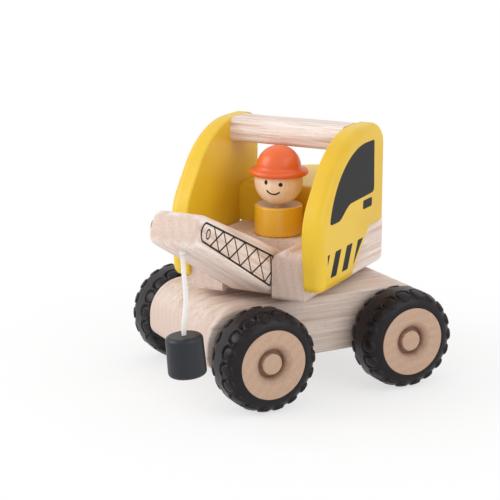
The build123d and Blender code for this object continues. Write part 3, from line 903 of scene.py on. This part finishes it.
class OBJECT_OT_tyres(bpy.types.Operator):
    """Moulds the tyres: a round carcass with a row of knobs in pockets on each shoulder"""

    bl_idname = "object.toy_tyres"
    bl_label = "Tyres"

    def execute(self, context):
        settings = context.scene.toy_tyres
        rubber = moulded_rubber("moulded_rubber", settings.rubber, settings.rubber_deep)
        low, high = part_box("tyre_front_left")
        hub_low, hub_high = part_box("hub_front_left")
        bead = (hub_high.z - hub_low.z) / 2 - HUB_RIB
        half, radius = (high.x - low.x) / 2, (high.z - low.z) / 2
        vertices, faces = self.mould(settings, half, radius, bead)
        for wheel in WHEELS:
            low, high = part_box(f"tyre_{wheel}")
            # a right wheel is the mirror image of a left one
            mirror = 1 if wheel.endswith("left") else -1
            middle = (low + high) / 2 - Vector((mirror * settings.shift, 0, 0))
            made = mesh_object(
                f"moulded_tyre_{wheel}",
                [(mirror * x, y, z) for x, y, z in vertices],
                faces,
                rubber,
                f"wheel_{wheel}",
                Matrix.Translation(middle),
            )
            made.data.shade_smooth()
            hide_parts(f"tyre_{wheel}")
        return {"FINISHED"}

    @staticmethod
    def section(half, bead, tread, bend):
        """Half of the tyre's outer line, from the bead to the tread's middle, as (x, r, normal)."""
        lip, lip_steps, arc_steps, flat_steps = 0.8 * MM, 5, 44, 8
        centre = Vector((half - bend, tread - bend))
        # the face starts where the shoulder's arc meets the lip round the bead
        start = math.asin(max(0.0, bead + lip - centre.y) / bend)
        edge = centre.x + (bend - lip) * math.cos(start)
        points = []
        for k in range(lip_steps):
            angle = math.radians(-90) + (start + math.radians(90)) * k / lip_steps
            normal = Vector((math.cos(angle), math.sin(angle)))
            reach = bead + lip + lip * (normal.y - math.sin(start))
            points.append((edge + lip * normal.x, reach, normal))
        for k in range(arc_steps + 1):
            angle = start + (math.radians(90) - start) * k / arc_steps
            normal = Vector((math.cos(angle), math.sin(angle)))
            points.append((centre.x + bend * normal.x, centre.y + bend * normal.y, normal))
        for k in range(1, flat_steps + 1):
            points.append((centre.x * (1 - k / flat_steps), tread, Vector((0, 1))))
        return points

    def mould(self, settings, half, radius, bead):
        """The whole tyre about X, as vertices and faces."""
        tread = radius - SEAM
        outer = self.section(half, bead, tread, settings.shoulder)
        share = 24  # steps in one knob's pitch
        pitch = 2 * math.pi / settings.knob_count
        # one knob's pitch, which every other knob repeats; the knob stands in its middle
        lifts = [
            [self.lift(settings, half, tread, *point, pitch * k / share) for point in outer]
            for k in range(-share // 2, share // 2)
        ]
        steps = settings.knob_count * share
        width = 2 * len(outer) - 1
        vertices, faces = [], []
        for k in range(steps):
            angle = 2 * math.pi * k / steps
            for i in range(width):
                side, j = (1, i) if i < len(outer) else (-1, width - 1 - i)
                x, r, normal = outer[j]
                # the outer row has a knob straight ahead, and the inner row lies half a pitch away
                turn = k + share // 2 if side > 0 else k
                lift = lifts[turn % share][j]
                x, r = side * (x + normal.x * lift), r + normal.y * lift
                vertices.append((x, -r * math.cos(angle), r * math.sin(angle)))
        # each ring of points is a whole section, closed through the bore
        for k in range(steps):
            faces += strip(k * width, (k + 1) % steps * width, width)
        return vertices, faces

    @staticmethod
    def lift(settings, half, tread, x, r, normal, turn):
        """Height of the moulded surface above a point of the carcass, at a turn from a knob."""
        axis = Vector((math.sin(settings.knob_lean), math.cos(settings.knob_lean)))
        slope = Vector((axis.y, -axis.x))
        top = Vector((half - settings.knob_inset, tread - settings.knob_sink))
        # the hollow is a round pocket, set off the knob's middle towards the tread
        aside = 0.65 * settings.pocket_gap
        wall = settings.knob_radius + settings.pocket_gap - aside
        wall_slope, floor_slope = 4.0, 0.3
        seam_half = 0.5 * MM

        def solid(height):
            """Whether the rubber reaches this far along the normal."""
            far = r + normal.y * height
            place = Vector((x + normal.x * height, far * math.cos(turn))) - top
            above, across = place.dot(axis), place.dot(slope)
            away = math.hypot(across, far * math.sin(turn))
            # the knob is a round post, leaning towards the face, domed, with a rounded rim
            bend = settings.knob_edge
            edge = min(bend, max(0.0, away - settings.knob_radius + bend))
            rim = bend - math.sqrt(bend**2 - edge * edge)
            dome = settings.knob_dome * (away / settings.knob_radius) ** 2
            if away < settings.knob_radius and above < -dome - rim:
                return True
            # the hollow has steep walls, and its floor rises from the tread's side to the face
            off = math.hypot(across + aside, far * math.sin(turn))
            rise = floor_slope * (across + settings.knob_radius)
            floor = wall_slope * max(0.0, off - wall) + rise
            skin = SEAM * max(0.0, 1 - x / seam_half)
            return height < skin and above < floor - settings.pocket_depth

        # the surface is found from above in steps, which are then halved
        height, step, halvings = 3.0 * MM, 0.1 * MM, 6
        while not solid(height - step):
            height -= step
        for _ in range(halvings):
            step /= 2
            if not solid(height - step):
                height -= step
        return height - step


class OBJECT_OT_cord_and_weight(bpy.types.Operator):
    """Braids the cord and lacquers the weight"""

    bl_idname = "object.toy_cord_and_weight"
    bl_label = "Cord and weight"

    def execute(self, context):
        settings, paint = context.scene.toy_cord, context.scene.toy_lacquer
        slate = wood_lacquer("slate_lacquer", paint.slate, paint.slate_deep, 0.45, 0.05, UPRIGHT)
        dress("load_weight", slate)
        white = cotton("bleached_cotton", settings.cotton, settings.cotton_deep)
        dress("cord_knot", white)
        line = self.line()
        vertices, faces = self.braid(settings, line)
        made = mesh_object("braided_cord", vertices, faces, white, "load")
        made.data.shade_smooth()
        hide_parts("cord")
        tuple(line[0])
        return {"FINISHED"}

    @staticmethod
    def line():
        """Points of the smooth line that the cord's route gives, below the knot."""
        data = bpy.data.curves.new("cord_route", "CURVE")
        data.dimensions = "3D"
        spline = data.splines.new("NURBS")
        spline.points.add(len(CORD_ROUTE) - 1)
        for point, (aside, down) in zip(spline.points, CORD_ROUTE):
            place = CORD_PIVOT + (CORD_ASIDE * aside - Vector((0, 0, down))) * MM
            point.co = (*place, 1)
        spline.order_u = 3
        spline.use_endpoint_u = True
        spline.resolution_u = 60
        route = bpy.data.objects.new("cord_route", data)
        points = [v.co.copy() for v in bpy.data.meshes.new_from_object(route).vertices]
        bpy.data.objects.remove(route)
        # the cord starts inside the knot's skin
        knot_low, knot_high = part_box("cord_knot")
        clear = 0.82 * (knot_high.z - knot_low.z) / 2
        return [point for point in points if (point - CORD_PIVOT).length > clear]

    @staticmethod
    def braid(settings, line):
        """A round braid along a line: crossing strands as low ridges, and a hollow upper end."""
        groove, hollow = 0.07 * MM, 0.5 * MM
        around = 4 * settings.strands
        side = CORD_ASIDE.copy()
        vertices, faces = [], []
        run = 0.0
        for k, point in enumerate(line):
            ahead = (line[min(k + 1, len(line) - 1)] - line[max(k - 1, 0)]).normalized()
            side = (side - ahead * ahead.dot(side)).normalized()
            other = ahead.cross(side)
            if k:
                run += (point - line[k - 1]).length
            twist = 2 * math.pi * run / settings.lay_length
            for i in range(around):
                angle = 2 * math.pi * i / around
                turn = settings.strands / 2 * angle
                ridge = max(math.cos(turn + twist), math.cos(turn - twist))
                radius = settings.diameter / 2 - groove * (1 - ridge)
                out = side * radius * math.cos(angle) + other * radius * math.sin(angle)
                vertices.append(point + out)
        for k in range(len(line) - 1):
            faces += strip(k * around, (k + 1) * around, around)
        vertices += [line[0] + (line[1] - line[0]).normalized() * hollow, line[-1]]
        last = (len(line) - 1) * around
        for i in range(around):
            j = (i + 1) % around
            faces.append([j, i, len(vertices) - 2])
            faces.append([last + i, last + j, len(vertices) - 1])
        return vertices, faces


class OBJECT_OT_driver(bpy.types.Operator):
    """Finishes the peg driver: lacquered body and helmet, plain head with a printed face"""

    bl_idname = "object.toy_driver"
    bl_label = "Driver"

    def execute(self, context):
        paint = context.scene.toy_lacquer
        body = wood_lacquer("body_yellow_lacquer", paint.body, paint.body_deep, 0.34, 0.3, UPRIGHT)
        dress("driver_body", body)
        helmet = wood_lacquer(
            "orange_lacquer", paint.orange, paint.orange_deep, 0.36, 0.12, UPRIGHT
        )
        dress("driver_helmet", helmet)
        dress("driver_head", rubberwood("rubberwood_head", UPRIGHT, TURNED_BALL, 0.15, 41))
        self.dish(context)
        self.face(context)
        return {"FINISHED"}

    @staticmethod
    def dish(context):
        """Bare wood skin over the dish in the body's top, which the lacquer leaves open."""
        settings = context.scene.toy_driver
        low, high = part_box("driver_body")
        centre = (low + high) / 2
        depth, reach = settings.dish_depth, settings.dish_radius
        ball = (reach**2 / depth + depth) / 2
        bore, thick = 3.0 * MM, 0.1 * MM
        steps, rings = 64, 8
        vertices, faces = [], []
        for skin in (thick / 2, -thick / 2):
            for k in range(rings + 1):
                r = bore + (reach - bore) * k / rings
                z = high.z - depth + ball - math.sqrt(ball**2 - r * r) + skin
                for i in range(steps):
                    angle = 2 * math.pi * i / steps
                    x, y = centre.x + r * math.cos(angle), centre.y + r * math.sin(angle)
                    vertices.append((x, y, z))
        under = (rings + 1) * steps
        for k in range(rings):
            inner, outer = k * steps, (k + 1) * steps
            faces += strip(inner, outer, steps) + strip(under + outer, under + inner, steps)
        for edge in (0, rings * steps):
            faces += strip(edge, under + edge, steps)
        bare = rubberwood("rubberwood_dish", UPRIGHT, BARE_DISH, 0.1, 47)
        mesh_object("driver_dish", vertices, faces, bare, "driver")

    @staticmethod
    def face(context):
        """Two eyes and a smile, printed on the head."""
        low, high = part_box("driver_head")
        # measured across, because the neck's bore cuts the ball's lowest skin
        radius = (high.x - low.x) / 2
        centre = Vector(((low.x + high.x) / 2, (low.y + high.y) / 2, high.z - radius))
        ink = screen_ink("face_ink", context.scene.toy_prints.face_ink)

        def at(right, up, lift):
            """A point above the head's skin, in degrees right of the cab's front and up."""
            a, e = math.radians(right), math.radians(up)
            way = Vector((math.sin(a) * math.cos(e), -math.cos(a) * math.cos(e), math.sin(e)))
            return centre + CAB.to_3x3() @ way * (radius + lift)

        # eyes, as (right, up, width, height) in degrees on the head
        for name, (right, up, width, height) in (
            ("eye_right", (-4.6, 6.0, 8.4, 11.4)),
            ("eye_left", (31.0, 1.9, 10.0, 9.6)),
        ):
            rings, steps = 3, 20
            vertices, faces = [at(right, up, PRINT_THICK)], []
            for k in range(1, rings + 2):
                share = min(k, rings) / rings
                lift = PRINT_THICK if k <= rings else -PRINT_SINK
                for i in range(steps):
                    angle = 2 * math.pi * i / steps
                    across = share * width / 2 * math.cos(angle)
                    rise = share * height / 2 * math.sin(angle)
                    vertices.append(at(right + across, up + rise, lift))
            for i in range(steps):
                faces.append([0, 1 + i, 1 + (i + 1) % steps])
            for k in range(rings):
                faces += strip(1 + (k + 1) * steps, 1 + k * steps, steps)
            faces.append([1 + rings * steps + i for i in range(steps)])
            mesh_object(name, vertices, faces, ink, "driver")
        # the smile is a curve through degrees (right, up), and thins at its ends
        last = 20
        line = bezier((-3.4, -12.0), (2.5, -24.5), (21.5, -26.5), (28.8, -15.4), steps=last)
        vertices, faces = [], []
        for k, point in enumerate(line):
            way = Vector(line[min(k + 1, last)]) - Vector(line[max(k - 1, 0)])
            thin = 0.7 if k in (0, last) else 2.1
            side = Vector((-way.y, way.x)).normalized() * thin
            for lift in (PRINT_THICK, -PRINT_SINK):
                for edge in (side, -side):
                    vertices.append(at(point[0] + edge.x, point[1] + edge.y, lift))
        for k in range(last):
            a, b = 4 * k, 4 * k + 4
            for i, j in ((0, 1), (1, 3), (3, 2), (2, 0)):
                faces.append([a + i, a + j, b + j, b + i])
        faces += [[0, 1, 3, 2], [4 * last + i for i in (2, 3, 1, 0)]]
        mesh_object("smile", vertices, faces, ink, "driver")


class OBJECT_OT_stage(bpy.types.Operator):
    """Floor, soft lights and the camera"""

    bl_idname = "object.toy_stage"
    bl_label = "Stage"

    def execute(self, context):
        self.floor(context)
        self.lights(context)
        self.camera(context)
        context.scene.view_settings.view_transform = "Standard"
        return {"FINISHED"}

    @staticmethod
    def floor(context):
        """A white floor 12 m square, under the tyres."""
        half = 6.0
        mesh = bpy.data.meshes.new("floor")
        corners = [(-half, -half), (half, -half), (half, half), (-half, half)]
        mesh.from_pydata([(x, y, GROUND) for x, y in corners], [], [(0, 1, 2, 3)])
        floor = bpy.data.objects.new("floor", mesh)
        context.scene.collection.objects.link(floor)
        material, tree = new_material("white_sweep")
        diffuse = add(tree, "ShaderNodeBsdfDiffuse", {"Color": linear("#F7F7F7")})
        glow = add(tree, "ShaderNodeEmission", {"Color": linear("#FFFFFF"), "Strength": 1.0})
        place = add(tree, "ShaderNodeTexCoord").outputs["Object"]
        away = add(tree, "ShaderNodeVectorMath", {0: place}, operation="LENGTH")
        # the sweep keeps the toy's shadow near the wheels and is plain white 0.28 m out
        near = add(
            tree,
            "ShaderNodeMapRange",
            {"Value": away, "From Min": 0.1, "From Max": 0.28, "To Min": 0.66, "To Max": 1.0},
        )
        share = add(tree, "ShaderNodeMath", {0: seen_rays(tree), 1: near}, operation="MULTIPLY")
        mix = add(tree, "ShaderNodeMixShader", {"Fac": share, 1: diffuse, 2: glow})
        add(tree, "ShaderNodeOutputMaterial", {"Surface": mix})
        mesh.materials.append(material)

    @staticmethod
    def lights(context):
        """A white studio with two soft boxes, which face the toy's middle."""
        world = bpy.data.worlds.new("studio")
        context.scene.world = world
        world.use_nodes = True
        tree = world.node_tree
        tree.nodes.clear()
        # the camera sees plain white, and the toy is lit by a softer level
        level = add(
            tree, "ShaderNodeMapRange", {"Value": seen_rays(tree), "To Min": 0.8, "To Max": 1.0}
        )
        back = add(tree, "ShaderNodeBackground", {"Color": linear("#FFFFFF"), "Strength": level})
        add(tree, "ShaderNodeOutputWorld", {"Surface": back})
        target = Vector((0, 0, 40 * MM))
        # each soft box's place and width in m, and its power in W
        for name, place, size, power in (
            ("key_soft_box", (-0.45, -1.2, 0.75), 0.8, 8.0),
            ("fill_soft_box", (1.2, 0.5, 0.8), 1.0, 4.5),
        ):
            light = bpy.data.lights.new(name, "AREA")
            light.size = size
            light.energy = power
            holder = bpy.data.objects.new(name, light)
            holder.location = place
            holder.rotation_mode = "QUATERNION"
            holder.rotation_quaternion = (target - Vector(place)).to_track_quat("-Z", "Y")
            context.scene.collection.objects.link(holder)

    @staticmethod
    def camera(context):
        """A long lens, aimed from the toy's front left and a little above."""
        azimuth, elevation = math.radians(62.25), math.radians(14.48)
        target = Vector((-12.66, -22.59, 59.98)) * MM
        distance = 1038.6 * MM
        back = Vector(
            (
                math.sin(azimuth) * math.cos(elevation),
                -math.cos(azimuth) * math.cos(elevation),
                math.sin(elevation),
            )
        )
        data = bpy.data.cameras.new("camera")
        data.lens = 110.87
        data.sensor_width = 36.0
        camera = bpy.data.objects.new("camera", data)
        camera.location = target + back * distance
        camera.rotation_mode = "QUATERNION"
        camera.rotation_quaternion = back.to_track_quat("Z", "Y")
        context.scene.collection.objects.link(camera)
        context.scene.camera = camera


class VIEW3D_PT_toy_crane(bpy.types.Panel):
    """Buttons for the toy's pieces"""

    bl_label = "Toy Crane Truck"
    bl_idname = "VIEW3D_PT_toy_crane"
    bl_space_type = "VIEW_3D"
    bl_region_type = "UI"
    bl_category = "Toy Crane"

    def draw(self, context):
        for operator in OPERATORS:
            self.layout.operator(operator.bl_idname)


OPERATORS = (
    OBJECT_OT_wooden_pieces,
    OBJECT_OT_yellow_pieces,
    OBJECT_OT_panel_prints,
    OBJECT_OT_boom_prints,
    OBJECT_OT_tyres,
    OBJECT_OT_cord_and_weight,
    OBJECT_OT_driver,
    OBJECT_OT_stage,
)
SETTINGS = {
    "toy_wood": WoodSettings,
    "toy_lacquer": LacquerSettings,
    "toy_prints": PrintSettings,
    "toy_tyres": TyreSettings,
    "toy_cord": CordSettings,
    "toy_driver": DriverSettings,
}
CLASSES = tuple(SETTINGS.values()) + OPERATORS + (VIEW3D_PT_toy_crane,)


def register():
    for made in CLASSES:
        bpy.utils.register_class(made)
    for name, group in SETTINGS.items():
        setattr(bpy.types.Scene, name, bpy.props.PointerProperty(type=group))


def unregister():
    for name in SETTINGS:
        delattr(bpy.types.Scene, name)
    for made in reversed(CLASSES):
        bpy.utils.unregister_class(made)


def main():
    register()
    for operator in OPERATORS:
        group, name = operator.bl_idname.split(".")
        getattr(getattr(bpy.ops, group), name)()


if __name__ == "__main__":
    main()
